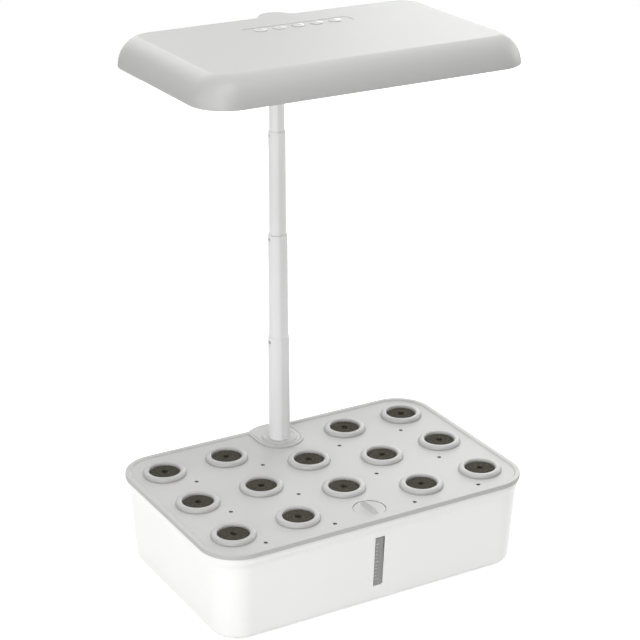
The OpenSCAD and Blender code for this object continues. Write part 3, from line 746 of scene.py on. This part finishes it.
class GARDEN_OT_pods(bpy.types.Operator):
    """Finish the baskets and model the rough sponges in them"""

    bl_idname = "garden.pods"
    bl_label = "Pods"

    def execute(self, context):
        sizes = context.scene.garden_sizes
        for n in PODS:
            redress(f"basket_{n}", finish_of("basket_ring"), sizes.edge / MM)
            self.sponge(n, sizes.sponge_rough / MM)
        return {"FINISHED"}

    def sponge(self, n, rough):
        """A tapered plug whose top is torn and has a hole for the seed in its middle."""
        low, high = box_mm(f"sponge_{n}")
        centre = (low + high) / 2
        radius = (high.x - low.x) / 2
        foot = radius - SPONGE_TAPER
        bm = bmesh.new()
        bmesh.ops.create_cone(
            bm, cap_ends=True, segments=72, radius1=foot, radius2=radius, depth=high.z - low.z
        )
        bmesh.ops.translate(bm, verts=bm.verts, vec=centre)
        top = max(bm.faces, key=lambda f: f.calc_center_median().z)
        run(bm, top, [(SPONGE_RING, 0)] * SPONGE_RINGS + [(0.4, -SEED_HOLE)])
        hole = radius - SPONGE_RINGS * SPONGE_RING
        for vert in bm.verts:
            if vert.co.z < high.z - 0.1:
                continue
            away = hypot(vert.co.x - centre.x, vert.co.y - centre.y)
            seat = Vector((vert.co.x, vert.co.y, n * SPONGE_SPREAD))
            lift = noise.fractal(seat * 0.45, 1.0, 2.1, 4)
            vert.co.z += rough * (min(0.0, lift) * 1.6 - 0.35)
            tear = noise.noise(seat * 0.9)
            if away > radius - 0.5:
                shrink = 1 - (0.012 + 0.03 * max(0.0, tear))
                vert.co.x = centre.x + (vert.co.x - centre.x) * shrink
                vert.co.y = centre.y + (vert.co.y - centre.y) * shrink
                vert.co.z -= 0.5
            if away < hole + 0.2:
                grow = 1 + 0.35 * tear
                vert.co.x = centre.x + (vert.co.x - centre.x) * grow
                vert.co.y = centre.y + (vert.co.y - centre.y) * grow
        piece(f"sponge_{n}_torn", bm, f"pod_{n}", finish_of("sponge"), [f"sponge_{n}"], sharp=60)


class GARDEN_OT_mast(bpy.types.Operator):
    """Finish the telescoping tubes and their locking pins"""

    bl_idname = "garden.mast"
    bl_label = "Mast"

    def execute(self, context):
        for n in TUBES:
            redress(f"mast_tube_{n}", finish_of("mast_tube"), 0.25)
        for n in PINS:
            redress(f"snap_pin_{n}", finish_of("locking_pin"), 0.2)
        return {"FINISHED"}


class GARDEN_OT_lamp(bpy.types.Operator):
    """Model the lamp's cover, and finish what it holds"""

    bl_idname = "garden.lamp"
    bl_label = "Lamp"

    def execute(self, context):
        sizes = context.scene.garden_sizes
        self.cover(sizes)
        for node, slot, round_mm in (
            ("lamp_base", "lamp_shell", 0.3),
            ("lamp_screws", "screw_steel", 0.1),
            ("diffuser", "diffuser_sheet", 0.3),
            ("led_board", "circuit_board", 0.1),
            ("led_chips", "led", 0.15),
            ("control_board", "control_circuit", 0.1),
            ("mast_collar", "collar_plastic", 0.3),
        ):
            redress(node, finish_of(slot), round_mm)
        for n in BUTTONS:
            redress(f"button_{n}", finish_of("button_cap"), 0.25)
        return {"FINISHED"}

    def cover(self, sizes):
        """A shallow dished shell with the mast's housing, the sunk button panel and the buttons' holes."""
        depth = LAMP_HIGH.y - LAMP_LOW.y
        height = LAMP_HIGH.z - LAMP_LOW.z
        inset = sizes.lamp_inset / MM
        wall = sizes.lamp_wall / MM
        side = (inset * inset + height * height) / (2 * inset)
        turn = asin(height / side)
        outer = [(side * (1 - cos(turn * n / 14)), side * sin(turn * n / 14)) for n in range(15)]
        inner_side = side - wall
        inner_turn = asin((height - wall) / inner_side)
        angles = [inner_turn * n / 8 for n in range(9)]
        inner = [(side - inner_side * cos(a), inner_side * sin(a)) for a in angles]
        bm, lower, upper = slab(
            LAMP_HIGH.x - LAMP_LOW.x,
            depth,
            sizes.lamp_corner / MM,
            (0, LAMP_MIDDLE.y, LAMP_LOW.z),
            sizes.corner_steps,
        )
        run(bm, upper, steps_of(outer))
        run(bm, lower, steps_of([(0, 0)] + inner))
        bmesh.ops.remove_doubles(bm, verts=bm.verts, dist=0.001)
        bmesh.ops.recalc_face_normals(bm, faces=bm.faces)
        crease = list(upper.edges)
        bmesh.ops.bevel(
            bm, geom=crease, offset=LAMP_CREASE, segments=3, profile=0.5, affect="EDGES", material=-1
        )
        bm = boolean(bm, self.housing(sizes, depth, inset), "UNION")
        board_low, board_high = box_mm("control_board")
        width = board_high.x - board_low.x + 2 * PANEL_MARGIN
        place = (0, middle("control_board").y, LAMP_HIGH.z - PANEL_SINK)
        bm = boolean(bm, prism(width, PANEL_DEPTH, PANEL_CORNER, place, 2, 8), "DIFFERENCE")
        places = [middle(f"button_{n}") for n in BUTTONS]
        holes = [rod(BUTTON_HOLE, (p.x, p.y, LAMP_HIGH.z - 8), 16, 48) for p in places]
        bm = boolean(bm, merged(*holes), "DIFFERENCE")
        piece("lamp_cover_shell", bm, "lamp", finish_of("lamp_shell"), ["lamp_cover"], sharp=30)

    def housing(self, sizes, depth, inset):
        """The round housing over the mast, with fillets where it leaves the flat top's back edge."""
        radius = sizes.housing / MM
        fillet = HOUSING_FILLET
        foot = LAMP_LOW.z + HOUSING_FOOT
        crease_y = LAMP_MIDDLE.y + depth / 2 - inset
        fillet_y = crease_y + fillet
        rise = fillet_y - MAST.y
        fillet_x = sqrt((radius + fillet) ** 2 - rise**2)
        touch = atan2(rise, fillet_x)
        outline = arc(0, MAST.y, radius, touch, pi - touch, 40)
        outline += arc(-fillet_x, fillet_y, fillet, -touch, -pi / 2, 16)[1:]
        outline += [(-fillet_x, crease_y - HOUSING_OVERLAP), (fillet_x, crease_y - HOUSING_OVERLAP)]
        outline += arc(fillet_x, fillet_y, fillet, -pi / 2, touch - pi, 16)[:-1]
        bm = bmesh.new()
        lower = bm.faces.new([bm.verts.new((x, y, foot)) for x, y in outline])
        made = bmesh.ops.extrude_face_region(bm, geom=[lower], use_keep_orig=True)["geom"]
        upper = next(g for g in made if isinstance(g, bmesh.types.BMFace) and len(g.verts) > 4)
        bmesh.ops.translate(bm, verts=upper.verts, vec=(0, 0, LAMP_HIGH.z - CLEAR - foot))
        bmesh.ops.recalc_face_normals(bm, faces=bm.faces)
        rim = [e for e in upper.edges if all(v.co.y > crease_y - CLEAR for v in e.verts)]
        bmesh.ops.bevel(
            bm, geom=rim, offset=HOUSING_RIM, segments=4, profile=0.5, affect="EDGES", material=-1
        )
        return bm


class GARDEN_OT_fittings(bpy.types.Operator):
    """Finish the feet, the screws, the power inlet and the pump"""

    bl_idname = "garden.fittings"
    bl_label = "Fittings"

    def execute(self, context):
        for node, slot, round_mm in (
            ("tank_feet", "foot_rubber", None),
            ("socket_screws", "screw_steel", 0.1),
            ("power_inlet", "inlet_plastic", 0.2),
            ("pump_body", "pump_plastic", 0.6),
            ("pump_filter", "pump_plastic", 0.3),
        ):
            redress(node, finish_of(slot), round_mm)
        return {"FINISHED"}


# Softboxes as name, azimuth from the back towards the right, elevation and level. At a level of 1 a
# surface that faces the box shows its own colour.
SOFTBOXES = (
    ("front_high", 180, 68, 0.39),
    ("front_left_high", -135, 50, 0.30),
    ("front_left_low", -135, 12, 0.39),
    ("left", -90, 12, 0.17),
    ("back_low", 0, 30, 0.17),
    ("back_high", 0, 50, 0.13),
    ("back_right_high", 45, 50, 0.21),
    ("back_right_low", 45, 10, 0.24),
    ("right_low", 90, 14, 0.28),
    ("right_high", 90, 50, 0.11),
)
# Across a softbox, how far it stands from the point that it aims at, and that point, in metres
SOFTBOX_SIZE = 1.2
SOFTBOX_REACH = 2.2
SOFTBOX_AIM = Vector((0, 0, 0.3))
WORLD_LEVEL = 0.1
# The camera's focal length in millimetres, its place in metres, and its turns down and round in degrees
LENS = 107.695
CAMERA_PLACE = (-0.8634, -1.5034, 0.9634)
CAMERA_DOWN = 22.075
CAMERA_ROUND = -29.837
# Half the floor's side in metres, its grey, and the light that the camera sees on top of it
FLOOR_HALF = 1.8
FLOOR_GREY = "#DADADA"
FLOOR_GLOW = 0.78


class GARDEN_OT_stage(bpy.types.Operator):
    """Set the camera, the soft studio light and the white floor"""

    bl_idname = "garden.stage"
    bl_label = "Stage"

    def execute(self, context):
        self.camera(context)
        self.lights(context)
        self.floor(context)
        return {"FINISHED"}

    def camera(self, context):
        """The camera, in front of the garden's left corner and above it."""
        lens = bpy.data.cameras.new("camera")
        lens.lens = LENS
        lens.sensor_width = 36
        camera = bpy.data.objects.new("camera", lens)
        context.scene.collection.objects.link(camera)
        camera.location = CAMERA_PLACE
        camera.rotation_euler = (radians(90 - CAMERA_DOWN), 0, radians(CAMERA_ROUND))
        context.scene.camera = camera

    def lights(self, context):
        """A dim world that looks white, and softboxes round the garden."""
        world = bpy.data.worlds.new("studio")
        world.use_nodes = True
        tree = world.node_tree
        tree.nodes.clear()
        seen = seen_directly(tree)
        soft = add(tree, "ShaderNodeBackground", {"Color": linear("#FFFFFF") + [1], "Strength": WORLD_LEVEL})
        white = add(tree, "ShaderNodeBackground", {"Color": linear("#FFFFFF") + [1], "Strength": 1.0})
        both = add(
            tree,
            "ShaderNodeMixShader",
            {0: seen, 1: soft.outputs["Background"], 2: white.outputs["Background"]},
        )
        out = add(tree, "ShaderNodeOutputWorld")
        tree.links.new(both.outputs["Shader"], out.inputs["Surface"])
        context.scene.world = world
        for name, azimuth, elevation, level in SOFTBOXES:
            lamp = bpy.data.lights.new(name, "AREA")
            lamp.shape = "DISK"
            lamp.size = SOFTBOX_SIZE
            lamp.energy = level * pi**2 * SOFTBOX_REACH**2
            light = bpy.data.objects.new(name, lamp)
            turn, lift = radians(azimuth), radians(elevation)
            away = Vector((sin(turn) * cos(lift), cos(turn) * cos(lift), sin(lift)))
            light.location = SOFTBOX_AIM + away * SOFTBOX_REACH
            light.rotation_euler = (-away).to_track_quat("-Z", "Y").to_euler()
            context.scene.collection.objects.link(light)

    def floor(self, context):
        """A pale floor that looks white where nothing shades it, and keeps the garden's shadow."""
        bm = bmesh.new()
        bmesh.ops.create_grid(bm, x_segments=1, y_segments=1, size=FLOOR_HALF)
        mesh = bpy.data.meshes.new("floor")
        bm.to_mesh(mesh)
        bm.free()
        floor = bpy.data.objects.new("floor", mesh)
        context.scene.collection.objects.link(floor)
        material, tree, _, out = blank("white_sweep")
        seen = seen_directly(tree)
        matt = add(tree, "ShaderNodeBsdfDiffuse", {"Color": linear(FLOOR_GREY) + [1]})
        glow = add(tree, "ShaderNodeEmission", {"Color": linear("#FFFFFF") + [1], "Strength": FLOOR_GLOW})
        lit = add(tree, "ShaderNodeAddShader", {0: matt.outputs["BSDF"], 1: glow.outputs["Emission"]})
        both = add(
            tree,
            "ShaderNodeMixShader",
            {0: seen, 1: matt.outputs["BSDF"], 2: lit.outputs["Shader"]},
        )
        tree.links.new(both.outputs["Shader"], out.inputs["Surface"])
        mesh.materials.append(material)


OPERATORS = (
    GARDEN_OT_stage,
    GARDEN_OT_tank,
    GARDEN_OT_window,
    GARDEN_OT_deck,
    GARDEN_OT_pods,
    GARDEN_OT_mast,
    GARDEN_OT_lamp,
    GARDEN_OT_fittings,
)


class GARDEN_PT_sidebar(bpy.types.Panel):
    """The garden's sizes and colours, and a button for each operator"""

    bl_idname = "GARDEN_PT_sidebar"
    bl_label = "Hydroponic garden"
    bl_space_type = "VIEW_3D"
    bl_region_type = "UI"
    bl_category = "Garden"

    def draw(self, context):
        for group in (context.scene.garden_sizes, context.scene.garden_colours):
            column = self.layout.column()
            for name in group.__annotations__:
                column.prop(group, name)
        for operator in OPERATORS:
            self.layout.operator(operator.bl_idname)


CLASSES = (GardenSizes, GardenColours, *OPERATORS, GARDEN_PT_sidebar)


def register():
    for cls in CLASSES:
        bpy.utils.register_class(cls)
    bpy.types.Scene.garden_sizes = PointerProperty(type=GardenSizes)
    bpy.types.Scene.garden_colours = PointerProperty(type=GardenColours)


def unregister():
    del bpy.types.Scene.garden_colours
    del bpy.types.Scene.garden_sizes
    for cls in reversed(CLASSES):
        bpy.utils.unregister_class(cls)


def main():
    register()
    view = bpy.context.scene.view_settings
    view.view_transform = "Standard"
    for operator in OPERATORS:
        group, name = operator.bl_idname.split(".")
        getattr(getattr(bpy.ops, group), name)()


if __name__ == "__main__":
    main()
